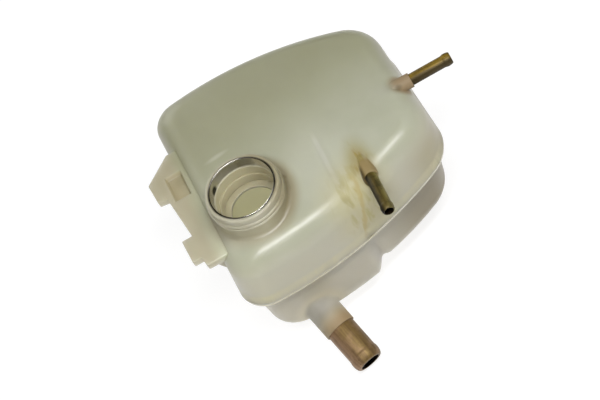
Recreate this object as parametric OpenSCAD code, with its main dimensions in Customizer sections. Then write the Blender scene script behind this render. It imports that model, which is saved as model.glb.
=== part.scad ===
// Coolant expansion tank of an engine bay: two welded plastic shells with a threaded filler neck,
// a metal ring in its mouth and three metal hose pipes.
// The origin is the centre of the filler mouth. The neck axis is +Z and the side pipe points to +X.

/* [Tank outline] */
// Distance from the neck axis to the left wall at the seam
left_wall = 37.2; // [36:0.2:42]
// Distance from the neck axis to the right wall at the seam
right_wall = 126; // [116:1:140]
// Distance from the neck axis to the front wall at the seam
front_wall = 44.5; // [41:0.5:52]
// Distance from the neck axis to the back wall at the seam
back_wall = 116; // [104:1:128]
// Lean of the right wall towards the back, in degrees
right_lean = 4.6; // [0:0.2:8]
// Spread of the left wall towards the back, in degrees
left_spread = 1.2; // [0:0.2:3]
// Radius of the long bow of the front wall
front_bow = 270; // [220:5:400]
// Radius of the long bow of the back wall
back_bow = 260; // [220:5:400]
// Corner radius at the front left
corner_fl = 19.5; // [14:0.5:24]
// Corner radius at the front right
corner_fr = 29; // [20:0.5:34]
// Corner radius at the back right
corner_br = 28; // [20:0.5:34]
// Corner radius at the back left
corner_bl = 16; // [12:0.5:24]
// Distance from the neck axis to the crease between the two lobes
crease_x = 55; // [50:0.5:62]

/* [Upper shell] */
// Wall thickness of both shells
wall = 3; // [2.4:0.1:3.6]
// Height of the mouth above the highest point of the crown
neck_rise = 16; // [14:0.5:20]
// Height from the seam to the highest point of the crown
upper_height = 50; // [44:1:56]
// Fall of the crown from its middle to the shoulder
crown_fall = 5; // [3:0.25:7]
// Radius of the shoulder
shoulder_r = 17; // [14:0.5:20]
// Draft of the wall between the seam and the shoulder
wall_draft = 0.9; // [0.4:0.1:2]
// Flare of the wall where it meets the seam
flare = 1.2; // [0.6:0.1:2]
// Height of the flare
flare_height = 10; // [6:0.5:14]
// Depth of the crease in the crown and the front wall
crease_depth = 0.9; // [0.4:0.1:1.6]
// Half width of the crease
crease_width = 3; // [2:0.25:5]
// Distance behind the neck axis at which the crease has faded out
crease_end = 30; // [15:1:34]

/* [Lower shell] */
// Depth from the seam to the bottom of the right lobe
lower_depth = 53.5; // [48:1:60]
// Extra depth of the left lobe
lobe_drop = 3.7; // [2:0.1:6]
// Length of the slope between the two lobes
lobe_blend = 9; // [5:0.5:12]
// Distance from the crease to the middle of that slope
lobe_shift = 5; // [3:0.5:8]
// Forward bulge of the left lobe at its bottom
lobe_bulge = 2; // [0:0.25:4]
// Tuck of the right lobe at its bottom
lobe_tuck = 4; // [0:0.25:6]
// Width of the weld flange outside the wall
weld_flange = 5.2; // [4:0.1:6.5]
// Thickness of the weld flange
weld_thick = 2.2; // [1.6:0.1:3]
// Set-back of the lower flange from the upper rim
weld_step = 0.4; // [0.2:0.1:0.8]
// Draft of the lower wall
lower_draft = 2.6; // [1:0.2:4]
// Radius between the lower wall and the bottom
bottom_r = 19; // [14:0.5:22]
// Belly of the bottom
belly = 2.5; // [1:0.25:4]
// Depth of the groove across the bottom
groove_depth = 2; // [1:0.25:3]

/* [Filler neck] */
// Wall of the neck round the metal ring
neck_wall = 2.7; // [2.2:0.05:4]
// Radius of the fillet between the neck and the crown
neck_fillet = 3.2; // [2:0.2:5]
// Rounding of the rim of the neck
rim_r = 0.8; // [0.4:0.1:1.2]
// Height of the thread above the neck
thread_height = 1.1; // [0.7:0.1:1.6]
// Rise of the thread in one turn
thread_pitch = 3.6; // [3:0.1:5]
// Turns of the thread
thread_turns = 2; // [1:0.25:3]
// Depth of the top end of the thread below the mouth
thread_start = 3; // [2.2:0.1:5]
// Inner diameter of the metal ring
ring_d = 43.6; // [41:0.2:45]
// Wall of the metal ring
ring_wall = 0.7; // [0.5:0.1:1.2]
// Length of the metal ring
ring_len = 9.5; // [7:0.5:12]
// Step from the ring's bore in to the neck bore below it
bore_step = 0.6; // [0.2:0.1:1]
// Depth at which the neck bore steps in
seat_depth = 17; // [14:0.5:20]
// Width of that step
seat_step = 1; // [0.5:0.1:1.8]
// Depth of the throat below the mouth
throat_depth = 25; // [22:0.5:28]
// Width of the ledge round the throat
throat_step = 4.2; // [2:0.2:6]
// Thickness of the ledge round the throat
throat_ledge = 2.5; // [1.5:0.25:4]

/* [Mounting flange] */
// Height of the mouth above the top face of the flange
flange_drop = 25.5; // [23:0.5:29]
// Thickness of the flange
flange_thick = 6; // [4:0.5:8]
// Reach of the flange beyond the left wall, at its front tab
flange_reach = 7.5; // [5:0.5:10]
// Slant of the flange edge over its length
flange_slant = 4; // [0:0.5:6]
// Reach of each tab beyond the flange edge
tab_reach = 7.5; // [5:0.5:10]
// Draft of the sides of the tabs
tab_draft = 1; // [0:0.25:2]
// Length of the rear tab
rear_tab_len = 16; // [12:0.5:20]
// Length of the front tab
front_tab_len = 19; // [14:0.5:24]
// Distance from the neck axis to the rear edge of the rear tab
rear_tab_y = 57.5; // [52:0.5:62]
// Distance from the neck axis to the rear edge of the front tab
front_tab_y = 5; // [2:0.5:8]
// Length of the slope behind the rear tab
flange_tail = 15; // [10:1:20]
// Length of the shoulder in front of the front tab
flange_nose = 7.5; // [4:0.5:10]
// Depth of the pocket in the flange beside the rear tab
pocket_depth = 2.5; // [1:0.5:4]
// Length of that pocket
pocket_len = 20; // [14:1:24]
// Width of that pocket
pocket_width = 12; // [8:0.5:13]
// Land between the pocket and the edge of the flange
pocket_land = 4; // [2:0.5:6]
// Thickness of each gusset under the flange
gusset_thick = 3; // [2:0.5:5]
// Height of each gusset at the wall
gusset_height = 22; // [14:1:26]
// Height of each gusset at its outer end
gusset_toe = 2; // [1:0.5:4]
// Land between the outer end of a gusset and the edge of the flange
gusset_land = 1; // [0.5:0.5:3]

/* [Bleed pipes] */
// Outer diameter of both bleed pipes
bleed_d = 8; // [6:0.5:10]
// Wall of both bleed pipes
bleed_wall = 1; // [0.6:0.1:1.5]
// Outer diameter of the bead at each open end
bleed_bead_d = 9; // [8.5:0.1:12]
// Length of the bead
bleed_bead_len = 5; // [4:0.5:7]
// Length of the side pipe beyond its collar
side_reach = 29.5; // [22:0.5:36]
// Length of the front pipe beyond its collar
front_reach = 31; // [24:1:38]
// Length of each pipe inside its collar and wall
bleed_root = 12; // [9:0.5:16]
// Outer diameter of both collars
collar_d = 10.2; // [9.6:0.1:13]
// Length of the side collar beyond the wall
side_collar = 7.5; // [5:0.5:12]
// Length of the front collar beyond the wall
front_collar = 1; // [0.5:0.5:5]
// Distance from the neck axis back to the side pipe
side_pipe_y = 28.5; // [15:0.5:45]
// Height of the mouth above the side pipe
side_pipe_drop = 26.5; // [25:0.5:32]
// Distance from the neck axis to the front pipe
front_pipe_x = 75.5; // [70:0.5:90]
// Height of the mouth above the front pipe
front_pipe_drop = 25; // [24:0.5:32]

/* [Outlet] */
// Outer diameter of the outlet pipe
outlet_d = 20; // [17:0.5:22]
// Wall of the outlet pipe
outlet_wall = 3; // [1.5:0.25:4]
// Outer diameter of its bead
outlet_bead_d = 21; // [20.5:0.25:24]
// Length of its bead and nose
outlet_bead_len = 7; // [5:0.5:10]
// Length of the outlet pipe beyond its boss
outlet_reach = 29.5; // [24:0.5:38]
// Length of the outlet pipe inside its boss
outlet_root = 24; // [16:0.5:26]
// Wall of the boss round the outlet pipe
boss_wall = 0.9; // [0.8:0.1:2.5]
// Length of the boss outside the shell
boss_len = 15.5; // [11:0.5:20]
// Length of the boss inside the shell
boss_root = 12; // [9:0.5:15]
// Distance from the neck axis to the outlet, to the right
outlet_x = 4; // [-5:0.5:12]
// Height of the outlet's root above the bottom of the right lobe
outlet_lift = 10.5; // [8.5:0.5:14]
// Dip of the outlet below level, in degrees
outlet_dip = 22.8; // [12:0.2:30]
// Turn of the outlet to the right of straight ahead, in degrees
outlet_turn = 13.8; // [0:0.2:25]

/* [Fits and facets] */
// Gap round each metal part where it sits in the plastic
insert_gap = 0.05; // [0.02:0.01:0.2]
// Number of steps in each corner of the outline
corner_steps = 8; // [5:1:10]
// Number of steps in each shoulder
shoulder_steps = 7; // [5:1:10]

/* [Hidden] */
$fn = 72;

plastic = [0.80, 0.79, 0.69];
plastic_low = [0.77, 0.75, 0.67];
brass = [0.70, 0.58, 0.38];
bright_metal = [0.80, 0.80, 0.78];

// Every level of a shell is the outline at the seam, drawn in towards its middle point. The middle of the
// lower shell lies on the slope between its lobes.
middle = [crease_x, (back_wall - front_wall) / 2];
low_middle = middle - [lobe_shift, 0];
mean_reach = (left_wall + right_wall) / 2;

crown_z = -neck_rise;
seam_z = crown_z - upper_height;
shoulder_z = crown_z - crown_fall - shoulder_r;
shoulder_end = 81;
wall_top_inset = flare + wall_draft;
wall_steps = 4;
cap_steps = 6;
bottom_z = seam_z - lower_depth;
bottom_centre_z = bottom_z + bottom_r;
bottom_end = 85;
lower_inset = weld_step + weld_flange;
weld_fillet = weld_thick;

// Points beside the crease, as parts of its half width
crease_marks = [-3, -1.8, -1, -0.45, 0, 0.45, 1, 1.8, 3];
front_apex_x = -10;
back_apex_x = 8;
right_foot_y = 20;
arc_gap = 9;
line_gap = 15;

front_bow_c = [front_apex_x, front_bow - front_wall];
back_bow_c = [back_apex_x, back_wall - back_bow];
left_foot = [-left_wall, 0];
left_deg = left_spread - 180;
right_foot = [right_wall, right_foot_y];

function dir2(deg) = [cos(deg), sin(deg)];
function clamp(v, lo, hi) = min(hi, max(lo, v));
function smooth(u) = u * u * (3 - 2 * u);

// Centre of a corner radius that touches a straight wall and a bowed wall
function corner_centre(foot, deg, bow_c, bow_r, r, side) =
    let (
        n = dir2(deg),
        t = [-n.y, n.x],
        p = foot - r * n,
        d = p - bow_c,
        b = d * t,
        c = d * d - pow(bow_r - r, 2)
    )
    p + t * (side * sqrt(b * b - c) - b);

function heading(v) = atan2(v.y, v.x);
function front_y(x) = front_bow_c.y - sqrt(pow(front_bow, 2) - pow(x - front_apex_x, 2));
function back_y(x) = back_bow_c.y + sqrt(pow(back_bow, 2) - pow(x - back_apex_x, 2));
function arc_points(c, r, a0, a1, steps) =
    [for (i = [0 : steps - 1]) c + r * dir2(a0 + (a1 - a0) * i / steps)];
function line_points(a, b, gap) =
    let (steps = ceil(norm(b - a) / gap)) [for (i = [0 : steps - 1]) a + (b - a) * i / steps];
function spread(a, b, gap) =
    let (steps = ceil(abs(b - a) / gap)) [for (i = [0 : steps - 1]) a + (b - a) * i / steps];

c_fl = corner_centre(left_foot, left_deg, front_bow_c, front_bow, corner_fl, 1);
c_bl = corner_centre(left_foot, left_deg, back_bow_c, back_bow, corner_bl, -1);
c_fr = corner_centre(right_foot, right_lean, front_bow_c, front_bow, corner_fr, -1);
c_br = corner_centre(right_foot, right_lean, back_bow_c, back_bow, corner_br, 1);
a_fl = heading(c_fl - front_bow_c);
a_fr = heading(c_fr - front_bow_c);
a_bl = heading(c_bl - back_bow_c);
a_br = heading(c_br - back_bow_c);

crease_xs = [for (m = crease_marks) crease_x + m * crease_width];
last_mark = len(crease_xs) - 1;
front_x0 = front_bow_c.x + front_bow * cos(a_fl);
front_x1 = front_bow_c.x + front_bow * cos(a_fr);
back_x0 = back_bow_c.x + back_bow * cos(a_br);
back_x1 = back_bow_c.x + back_bow * cos(a_bl);
front_xs = concat(
    spread(front_x0, crease_xs[0], arc_gap),
    crease_xs,
    [for (x = spread(front_x1, crease_xs[last_mark], arc_gap)) front_x1 + crease_xs[last_mark] - x]
);
back_xs = concat(
    spread(back_x0, crease_xs[last_mark], arc_gap),
    [for (i = [0 : last_mark]) crease_xs[last_mark - i]],
    [for (x = spread(back_x1, crease_xs[0], arc_gap)) back_x1 + crease_xs[0] - x]
);

// The outline at the seam, anticlockwise from the back of the left wall. Each bow ends where its
// next corner begins, so the doubled first point of the bow's tail is left out.
outline = concat(
    line_points(c_bl + corner_bl * dir2(left_deg), c_fl + corner_fl * dir2(left_deg), line_gap),
    arc_points(c_fl, corner_fl, left_deg, a_fl, corner_steps),
    [for (x = front_xs) if (x < front_x1 - 0.1) [x, front_y(x)]],
    arc_points(c_fr, corner_fr, a_fr, right_lean, corner_steps),
    line_points(c_fr + corner_fr * dir2(right_lean), c_br + corner_br * dir2(right_lean), line_gap),
    arc_points(c_br, corner_br, right_lean, a_br, corner_steps),
    [for (x = back_xs) if (x > back_x1 + 0.1) [x, back_y(x)]],
    arc_points(c_bl, corner_bl, a_bl, left_deg + 360, corner_steps)
);

// How far the upper wall stands in from the seam outline at a height above the seam
function wall_inset(h) =
    flare * (1 - pow(1 - min(h, flare_height) / flare_height, 2)) + wall_draft * h / (shoulder_z - seam_z);
function shoulder_inset(z) =
    wall_top_inset + shoulder_r - sqrt(max(0, pow(shoulder_r, 2) - pow(z - shoulder_z, 2)));
function upper_inset(z) = z > shoulder_z ? shoulder_inset(z) : wall_inset(z - seam_z);
function scale_at(inset) = 1 - inset / mean_reach;

// A level is [scale, height, tilt], where the tilt is 0 on the crown, 90 on a wall and 180 on the bottom.
// The skin is the depth of the level's surface below the outer one: 0 outside and the wall inside.
function upper_levels(skin) =
    let (
        r = shoulder_r - skin,
        end_inset = wall_top_inset + shoulder_r - r * cos(shoulder_end),
        end_z = shoulder_z + r * sin(shoulder_end),
        end_scale = scale_at(end_inset),
        top_z = crown_z - skin
    )
    concat(
        [for (i = [1 : cap_steps - 1])
            let (f = pow(i / cap_steps, 1.4))
            [end_scale * f, top_z - (top_z - end_z) * f * f, (90 - shoulder_end) * f]],
        [for (i = [0 : shoulder_steps])
            let (a = shoulder_end * (1 - i / shoulder_steps))
            [scale_at(wall_top_inset + shoulder_r - r * cos(a)), shoulder_z + r * sin(a), 90 - a]],
        [for (i = [1 : wall_steps])
            let (h = (shoulder_z - seam_z) * pow(1 - i / wall_steps, 1.3))
            [scale_at(wall_inset(h) + skin), seam_z + h, 90]]
    );

function lower_levels(skin) =
    let (
        r = bottom_r - skin,
        turn_inset = lower_inset + lower_draft + bottom_r,
        end_scale = scale_at(turn_inset - r * cos(bottom_end)),
        end_z = bottom_centre_z - r * sin(bottom_end),
        low_z = bottom_z - belly + skin
    )
    concat(
        [for (i = [1 : wall_steps])
            let (f = i / wall_steps)
            [scale_at(lower_inset + lower_draft * f + skin), seam_z - weld_thick - weld_fillet
                + (bottom_centre_z - seam_z + weld_thick + weld_fillet) * f, 90]],
        [for (i = [1 : shoulder_steps])
            let (a = bottom_end * i / shoulder_steps)
            [scale_at(turn_inset - r * cos(a)), bottom_centre_z - r * sin(a), 90 + a]],
        [for (i = [1 : cap_steps - 1])
            let (f = pow(1 - i / cap_steps, 1.4))
            [end_scale * f, low_z + (end_z - low_z) * f * f, 180]]
    );

// The outside of the lower shell starts with the weld flange and its fillet, the inside with a plain rim
weld_levels = [
    [scale_at(weld_step), seam_z, 90],
    [scale_at(weld_step), seam_z - weld_thick, 90],
    for (a = [0 : 45 : 90])
        let (drop = weld_thick + weld_fillet * (1 - cos(a)))
        [scale_at(lower_inset - weld_fillet * (1 - sin(a))), seam_z - drop, 90]
];
rim_levels = [[scale_at(lower_inset + wall), seam_z, 90]];

function lobe(x) = smooth(clamp((crease_x - lobe_shift - x) / lobe_blend + 0.5, 0, 1));
// Depth of the crease at a point of the plan
function crease(p, depth) =
    depth * exp(-pow((p.x - crease_x) / crease_width, 2))
        * smooth(clamp((crease_end - p.y) / crease_end, 0, 1));

// One ring of points about a centre. The crease sinks it along its own normal. "low" runs from 0 at the
// seam to 1 at the bottom, where the left lobe is deeper and stands forward and the right lobe is tucked in.
function ring_points(c, level, low, depth) =
    [for (p = outline)
        let (
            side = lobe(p.x),
            dip = crease(c + level[0] * (p - c), depth),
            s = level[0] - (lobe_tuck * low * (1 - side) + dip * sin(level[2])) / mean_reach,
            q = c + s * (p - c),
            ahead = clamp((c.y - q.y) / (c.y + front_wall), 0, 1),
            z = level[1] - lobe_drop * low * side - dip * cos(level[2])
        )
        [q.x, q.y - lobe_bulge * low * side * ahead, z]];

function lowness(level) = max(0, (seam_z - level[1]) / lower_depth);
function upper_rings(levels) = [for (l = levels) ring_points(middle, l, 0, crease_depth)];
function lower_rings(levels) =
    [for (l = levels) ring_points(low_middle, l, lowness(l), groove_depth * min(1, lowness(l) * 1.5))];
function reversed(list) = [for (i = [0 : len(list) - 1]) list[len(list) - 1 - i]];

// A closed skin through rings that run from a pole outside, over the rim, to a pole inside
module skin(first_pole, rings, last_pole) {
    n = len(rings[0]);
    m = len(rings);
    points = concat([first_pole], [for (ring = rings) each ring], [last_pole]);
    polyhedron(
        points,
        concat(
            [for (j = [0 : n - 1]) [0, 1 + (j + 1) % n, 1 + j]],
            [for (k = [0 : m - 2], j = [0 : n - 1])
                let (a = 1 + k * n + j, b = 1 + k * n + (j + 1) % n)
                each [[a, b, b + n], [a, b + n, a + n]]],
            [for (j = [0 : n - 1]) [m * n + 1, 1 + (m - 1) * n + j, 1 + (m - 1) * n + (j + 1) % n]]
        ),
        convexity = 8
    );
}

module upper_skin() {
    rings = upper_rings(concat(upper_levels(0), reversed(upper_levels(wall))));
    pole = [middle.x, middle.y, crown_z];
    skin(pole, rings, pole - [0, 0, wall]);
}

module lower_skin() {
    inside = reversed(concat(rim_levels, lower_levels(wall)));
    outside = concat(weld_levels, lower_levels(0));
    pole = [low_middle.x, low_middle.y, bottom_z - belly - lobe_drop * (1 + belly / lower_depth) / 2];
    skin(pole + [0, 0, wall], lower_rings(concat(inside, outside)), pole);
}

// Places on the walls that carry the pipes
side_scale = scale_at(upper_inset(-side_pipe_drop));
side_foot_y = middle.y + (side_pipe_y - middle.y) / side_scale;
side_wall_x = middle.x
    + side_scale * (right_wall - (side_foot_y - right_foot_y) * tan(right_lean) - middle.x);
front_scale = scale_at(upper_inset(-front_pipe_drop));
front_foot_x = middle.x + (front_pipe_x - middle.x) / front_scale;
front_wall_y = middle.y + front_scale * (front_y(front_foot_x) - middle.y);
outlet_foot = [outlet_x, front_y(outlet_x) + lower_inset - 1, bottom_z + outlet_lift];
boss_d = outlet_d + 2 * (boss_wall + insert_gap);
neck_bore_r = ring_d / 2 - bore_step;
neck_seat_r = neck_bore_r - seat_step;
neck_pocket_r = ring_d / 2 + ring_wall + insert_gap;
neck_r = neck_pocket_r + neck_wall;
neck_foot_z = -throat_depth - throat_ledge;
// How far the flange and its gussets run into the shell
flange_bite = wall_top_inset + wall * 2;
gusset_bite = wall_top_inset + wall / 2;
fillet_steps = 5;
fillet_root = 1.5;
fillet_seat = 0.15;
thread_steps = 24;
thread_fade = 3;
thread_root = 0.6;
collar_root = bleed_root + 3;
shoulder_cut = shoulder_r / 2;
cut = 0.1;

module along_x(x, y, z) {
    translate([x, y, z])
        rotate([0, 90, 0])
            children();
}

module along_front(x, y, z) {
    translate([x, y, z])
        rotate([90, 0, 0])
            children();
}

module along_outlet() {
    translate(outlet_foot)
        rotate([0, 0, outlet_turn])
            rotate([90 + outlet_dip, 0, 0])
                children();
}

// The flange outline runs along the wall, out round each tab and back
flange_in_x = -left_wall + flange_bite;
flange_edge_x = -left_wall - flange_reach;
rear_edge_x = flange_edge_x - flange_slant;
front_end_y = front_tab_y - front_tab_len - flange_nose;
pocket_front_y = rear_tab_y - pocket_len - tab_draft * 2;

module flange_outline() {
    polygon([
        [flange_in_x, rear_tab_y + flange_tail],
        [-left_wall, rear_tab_y + flange_tail],
        [rear_edge_x - tab_reach, rear_tab_y],
        [rear_edge_x - tab_reach + tab_draft, rear_tab_y - rear_tab_len],
        [rear_edge_x, rear_tab_y - rear_tab_len - tab_draft],
        [flange_edge_x, front_tab_y],
        [flange_edge_x - tab_reach, front_tab_y],
        [flange_edge_x - tab_reach + tab_draft, front_tab_y - front_tab_len],
        [flange_edge_x - tab_draft, front_tab_y - front_tab_len],
        [flange_edge_x, front_end_y],
        [flange_in_x, front_end_y]
    ]);
}

module gusset(y, reach) {
    translate([0, y + gusset_thick / 2, -flange_drop - flange_thick])
        rotate([90, 0, 0])
            linear_extrude(gusset_thick)
                polygon([
                    [-left_wall + gusset_bite, cut],
                    [-left_wall - reach, cut],
                    [-left_wall - reach, -gusset_toe],
                    [-left_wall + gusset_bite, -gusset_height]
                ]);
}

module mounting_flange() {
    difference() {
        translate([0, 0, -flange_drop - flange_thick])
            linear_extrude(flange_thick)
                flange_outline();
        translate([rear_edge_x + pocket_land, pocket_front_y, -flange_drop - pocket_depth])
            cube([pocket_width, pocket_len, pocket_depth + cut]);
    }
    gusset(rear_tab_y - rear_tab_len / 2, flange_reach + flange_slant - gusset_land);
    for (y = [front_tab_y - gusset_thick, front_tab_y - front_tab_len + gusset_thick])
        gusset(y, flange_reach - gusset_land);
}

// The neck as a solid body of revolution with a rounded rim
module neck_body() {
    rotate_extrude()
        polygon(concat(
            [[0, neck_foot_z], [neck_r, neck_foot_z]],
            [for (a = [0 : 30 : 90]) [neck_r - rim_r + rim_r * cos(a), rim_r * sin(a) - rim_r]],
            [[0, 0]]
        ));
}

// Height of the crown over a point, looked up by its share of the way from the middle to the outline
reach_table = [for (p = outline) [heading(p - middle), norm(p - middle)]];
crown_table = concat([[0, crown_z]], [for (l = upper_levels(0)) [l[0], l[1]]]);
function crown_at(p) =
    let (d = p - middle) lookup(norm(d) / lookup(heading(d), reach_table), crown_table);

// The fillet at the foot of the neck. Each section leaves the neck upright and lands on the crown, and
// both its ends are sunk by the seat.
module neck_foot_fillet() {
    sections = [for (i = [0 : $fn - 1])
        let (
            way = dir2(360 * i / $fn),
            start = neck_r - fillet_seat,
            reach = neck_fillet + fillet_seat,
            foot = crown_at(way * neck_r),
            toe = crown_at(way * (start + reach)) - fillet_seat,
            curve = [for (k = [0 : fillet_steps])
                let (t = k / fillet_steps, u = 1 - t)
                [start + t * t * reach, u * u * (foot + neck_fillet) + 2 * t * u * foot + t * t * toe]],
            back = [
                [start + reach, toe - fillet_root],
                [neck_r - fillet_root, min(foot, toe) - fillet_root],
                [neck_r - fillet_root, foot + neck_fillet]
            ]
        )
        [for (q = concat(curve, back)) [q[0] * way.x, q[0] * way.y, q[1]]]];
    n = fillet_steps + 4;
    polyhedron(
        [for (section = sections) each section],
        [for (i = [0 : $fn - 1], k = [0 : n - 1])
            let (
                a = n * i + k,
                b = n * i + (k + 1) % n,
                c = n * ((i + 1) % $fn) + k,
                d = n * ((i + 1) % $fn) + (k + 1) % n
            )
            each [[a, c, d], [a, d, b]]],
        convexity = 6
    );
}

// A helical ridge round the neck that starts and ends flush with it
module neck_thread() {
    steps = thread_steps * thread_turns;
    root = neck_r - thread_root;
    half = thread_pitch * 0.34;
    sections = [for (i = [0 : steps])
        let (
            a = 360 * thread_turns * i / steps,
            h = thread_height * min(1, min(i, steps - i) / thread_fade) + 0.02,
            z = -thread_start - half - thread_pitch * thread_turns * i / steps,
            crest = neck_r + h
        )
        [for (q = [[root, half], [crest, half * 0.45], [crest, -half * 0.45], [root, -half]])
            [q[0] * cos(a), q[0] * sin(a), z + q[1]]]];
    polyhedron(
        [for (section = sections) each section],
        concat(
            [[0, 1, 2], [0, 2, 3]],
            [for (i = [0 : steps - 1], k = [0 : 3])
                let (a = 4 * i + k, b = 4 * i + (k + 1) % 4)
                each [[a, a + 4, b + 4], [a, b + 4, b]]],
            [[4 * steps, 4 * steps + 2, 4 * steps + 1], [4 * steps, 4 * steps + 3, 4 * steps + 2]]
        ),
        convexity = 6
    );
}

// The hole for a bleed pipe. It runs on past the collar to clear the slope of the shoulder.
module bleed_hole(collar_len) {
    translate([0, 0, -cut])
        cylinder(r = bleed_d / 2 + insert_gap, h = collar_root + collar_len + shoulder_cut);
}

module upper_shell() {
    color(plastic)
        difference() {
            union() {
                upper_skin();
                mounting_flange();
                neck_body();
                neck_foot_fillet();
                neck_thread();
                along_x(side_wall_x - collar_root, side_pipe_y, -side_pipe_drop)
                    cylinder(d = collar_d, h = collar_root + side_collar);
                along_front(front_pipe_x, front_wall_y + collar_root, -front_pipe_drop)
                    cylinder(d = collar_d, h = collar_root + front_collar);
            }
            translate([0, 0, -ring_len - insert_gap])
                cylinder(r = neck_pocket_r, h = ring_len + insert_gap + cut);
            translate([0, 0, -seat_depth])
                cylinder(r = neck_bore_r, h = seat_depth);
            translate([0, 0, -throat_depth])
                cylinder(r = neck_seat_r, h = throat_depth);
            translate([0, 0, neck_foot_z - cut])
                cylinder(r = neck_seat_r - throat_step, h = -neck_foot_z);
            along_x(side_wall_x - collar_root, side_pipe_y, -side_pipe_drop)
                bleed_hole(side_collar);
            along_front(front_pipe_x, front_wall_y + collar_root, -front_pipe_drop)
                bleed_hole(front_collar);
        }
}

module lower_shell() {
    color(plastic_low)
        difference() {
            union() {
                lower_skin();
                along_outlet()
                    translate([0, 0, -boss_root])
                        cylinder(d = boss_d, h = boss_root + boss_len);
            }
            along_outlet()
                translate([0, 0, -boss_root - cut])
                    cylinder(r = outlet_d / 2 + insert_gap, h = boss_root + boss_len + 2 * cut);
        }
}

// A thin sleeve that stands in the pocket of the neck, flush with its rim
module neck_ring() {
    color(bright_metal)
        translate([0, 0, -ring_len])
            rotate_extrude()
                translate([ring_d / 2, 0])
                    square([ring_wall, ring_len]);
}

// A straight tube from z = 0 to its open end, with a bead whose nose is tapered
module beaded_tube(d, thick, bead_d, bead_len, length) {
    r = d / 2;
    bore = r - thick;
    bead = bead_d / 2;
    start = length - bead_len;
    rotate_extrude()
        polygon([
            [bore, 0],
            [r, 0],
            [r, start],
            [bead, start + bead - r],
            [bead, length - bead_len * 0.45],
            [bore + thick * 0.55, length],
            [bore, length]
        ]);
}

module outlet_pipe() {
    color(brass)
        along_outlet()
            translate([0, 0, boss_len - outlet_root])
                beaded_tube(
                    outlet_d, outlet_wall, outlet_bead_d, outlet_bead_len,
                    outlet_root + outlet_reach
                );
}

module bleed_tube(length) {
    beaded_tube(bleed_d, bleed_wall, bleed_bead_d, bleed_bead_len, bleed_root + length);
}

module bleed_pipe_side() {
    color(brass)
        along_x(side_wall_x - bleed_root, side_pipe_y, -side_pipe_drop)
            bleed_tube(side_collar + side_reach);
}

module bleed_pipe_front() {
    color(brass)
        along_front(front_pipe_x, front_wall_y + bleed_root, -front_pipe_drop)
            bleed_tube(front_collar + front_reach);
}

upper_shell();
lower_shell();
neck_ring();
outlet_pipe();
bleed_pipe_side();
bleed_pipe_front();
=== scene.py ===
import bpy
import bmesh
import numpy as np
from math import cos, pi, radians, sin
from mathutils import Matrix, Vector
from mathutils.bvhtree import BVHTree


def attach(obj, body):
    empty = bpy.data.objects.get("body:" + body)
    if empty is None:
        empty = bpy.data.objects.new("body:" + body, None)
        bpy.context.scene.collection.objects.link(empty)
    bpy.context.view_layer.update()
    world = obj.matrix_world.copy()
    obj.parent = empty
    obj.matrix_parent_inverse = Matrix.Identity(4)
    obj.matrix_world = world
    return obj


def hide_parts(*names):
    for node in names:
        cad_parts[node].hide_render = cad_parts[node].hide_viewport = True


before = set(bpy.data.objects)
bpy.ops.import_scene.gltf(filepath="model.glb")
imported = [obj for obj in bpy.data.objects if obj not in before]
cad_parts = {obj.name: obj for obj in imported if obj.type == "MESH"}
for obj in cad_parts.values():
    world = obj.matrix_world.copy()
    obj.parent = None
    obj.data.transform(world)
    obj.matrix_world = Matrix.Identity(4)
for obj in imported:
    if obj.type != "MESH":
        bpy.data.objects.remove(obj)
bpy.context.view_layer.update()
MM = 0.001


# ---------------------------------------------------------------------------
# Upper shell
# Injection-moulded polypropylene, milky and aged, 3 mm thick: a domed lid with soft shoulders, the filler
# neck with its thread, two collars round the bleed pipes and the mounting flange. It is welded to the
# lower shell along its thin rim.
# ---------------------------------------------------------------------------
LEFT, RIGHT, FRONT, BACK = -37.2, 126.0, -44.5, 115.98
RIGHT_LEAN, LEFT_SPREAD, LEAN_FOOT = radians(4.6), radians(1.2), 20.0
FRONT_BOW, BACK_BOW, FRONT_BOW_X, BACK_BOW_X = 270.0, 260.0, -10.0, 8.0
CORNER_FL, CORNER_FR, CORNER_BR, CORNER_BL = 19.5, 29.0, 28.0, 16.0
CREASE_X, CREASE_HALF, CREASE_END, CREASE_DEPTH = 55.0, 3.0, 30.0, 0.9
WALL = 3.0
CROWN_Z, SEAM_Z = -16.0, -66.0
CROWN_FALL, SHOULDER_R, SHOULDER_END = 5.0, 17.0, radians(81)
SHOULDER_Z = CROWN_Z - CROWN_FALL - SHOULDER_R
FLARE, FLARE_HEIGHT, WALL_DRAFT = 1.2, 10.0, 0.9
OUTLINE_POINTS = 420
MEAN_REACH = (RIGHT - LEFT) / 2
MIDDLE = np.array([CREASE_X, (BACK + FRONT) / 2])


def turn_centre(foot, angle, bow_centre, bow_r, r, side):
    """Centre of a corner radius that touches a straight wall and a bowed one: it lies r inside the wall
    and bow_r - r from the bow's centre."""
    normal = np.array([cos(angle), sin(angle)])
    along = np.array([-normal[1], normal[0]])
    start = foot - r * normal
    gap = start - bow_centre
    b = gap @ along
    return start + along * (side * np.sqrt(b * b - gap @ gap + (bow_r - r) ** 2) - b)


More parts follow.
